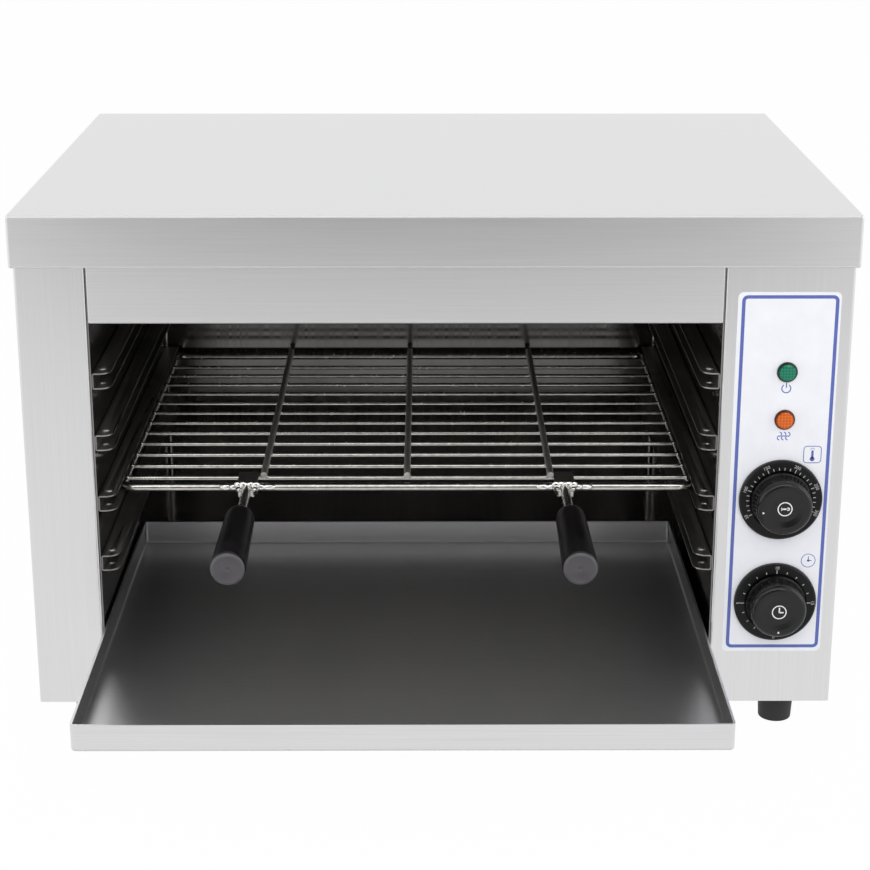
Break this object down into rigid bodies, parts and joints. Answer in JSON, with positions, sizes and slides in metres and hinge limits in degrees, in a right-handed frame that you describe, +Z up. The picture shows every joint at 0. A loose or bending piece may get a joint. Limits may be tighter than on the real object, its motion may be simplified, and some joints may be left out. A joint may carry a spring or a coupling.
{
  "type": "cheese melter",
  "caption": "Countertop cheese melter: open-fronted steel cabinet with a wire grid on side runners, roof elements, a crumb tray and a control column with two dials and two lamps.",
  "frame": {"origin": "on the bench, in the middle of the floor space taken with the crumb tray drawn out as it stands at rest", "axes": "+X to the right as seen from the front, +Y from the front into the cabinet, +Z up"},
  "size_m": [0.6, 0.6166, 0.399],
  "materials": {
    "brushed_stainless": "fine straight brushed stainless sheet",
    "bright_stainless": "bright annealed stainless sheet",
    "galvanised_steel": "dull zinc coated sheet",
    "element_sheath": "dark oxidised tube sheath",
    "zinc_steel": "zinc plated hardware",
    "white_ceramic": "off-white glazed ceramic",
    "label_film": "satin printed film",
    "green_lens": "clear tinted moulding",
    "orange_lens": "clear tinted moulding",
    "black_moulding": "matt black moulding",
    "black_plastic": "satin black heat proof moulding",
    "copper_tube": "drawn copper tube",
    "black_rubber": "matt black rubber",
    "brass": "turned brass",
    "plated_wire": "bright plated wire and strip",
    "grip_plastic": "fine matt black heat proof moulding"
  },
  "bodies": {
    "cabinet": {"top_cover": "brushed_stainless", "left_side_casing": "brushed_stainless", "control_housing": "brushed_stainless", "front_valance": "brushed_stainless", "lower_sill": "brushed_stainless", "rear_panel": "brushed_stainless", "base_plate": "galvanised_steel", "cavity_left_wall": "bright_stainless", "cavity_right_wall": "bright_stainless", "cavity_back_wall": "bright_stainless", "cavity_ceiling": "bright_stainless", "cavity_floor": "bright_stainless", "heating_element_front": "element_sheath", "heating_element_middle": "element_sheath", "heating_element_rear": "element_sheath", "element_hangers": "bright_stainless", "element_nuts": "zinc_steel", "element_terminals": "white_ceramic", "control_label": "label_film", "power_lamp_lens": "green_lens", "heat_lamp_lens": "orange_lens", "lamp_bodies": "black_moulding", "thermostat_dial_ring": "black_plastic", "timer_dial_ring": "black_plastic", "thermostat_body": "white_ceramic", "timer_body": "black_moulding", "control_screws": "zinc_steel", "thermostat_probe": "copper_tube", "heat_shield": "galvanised_steel", "foot_front_left": "black_rubber", "foot_front_right": "black_rubber", "foot_rear_left": "black_rubber", "foot_rear_right": "black_rubber", "foot_screws": "zinc_steel", "case_screws": "zinc_steel", "cord_gland": "black_moulding", "gland_nut": "black_moulding", "terminal_block": "black_moulding", "earth_stud": "brass", "runner_left_1": "bright_stainless", "runner_left_2": "bright_stainless", "runner_left_3": "bright_stainless", "runner_left_4": "bright_stainless", "runner_right_1": "bright_stainless", "runner_right_2": "bright_stainless", "runner_right_3": "bright_stainless", "runner_right_4": "bright_stainless"},
    "grid": {"grid_frame": "plated_wire", "grid_cross_rods": "plated_wire", "grid_long_bars": "plated_wire", "handle_tabs": "plated_wire", "handle_stems": "plated_wire", "handle_grip_left": "grip_plastic", "handle_grip_right": "grip_plastic"},
    "tray": {"crumb_tray": "bright_stainless"},
    "thermostat_dial": {"thermostat_knob": "black_plastic", "thermostat_shaft": "zinc_steel"},
    "timer_dial": {"timer_knob": "black_plastic", "timer_shaft": "zinc_steel"}
  },
  "joints": [
    {"name": "tray_slide", "type": "slide", "parent": "cabinet", "child": "tray", "axis": [0, -1, 0], "range_m": [-0.167, 0.2]},
    {"name": "grid_slide", "type": "slide", "parent": "cabinet", "child": "grid", "axis": [0, -1, 0], "range_m": [-0.005, 0.25]},
    {"name": "thermostat_turn", "type": "hinge", "parent": "cabinet", "child": "thermostat_dial", "pos_m": [0.2521, -0.14145, 0.18797], "axis": [0, 1, 0], "range_deg": [0, 230]},
    {"name": "timer_turn", "type": "hinge", "parent": "cabinet", "child": "timer_dial", "pos_m": [0.2521, -0.14145, 0.10758], "axis": [0, 1, 0], "range_deg": [0, 270]}
  ]
}
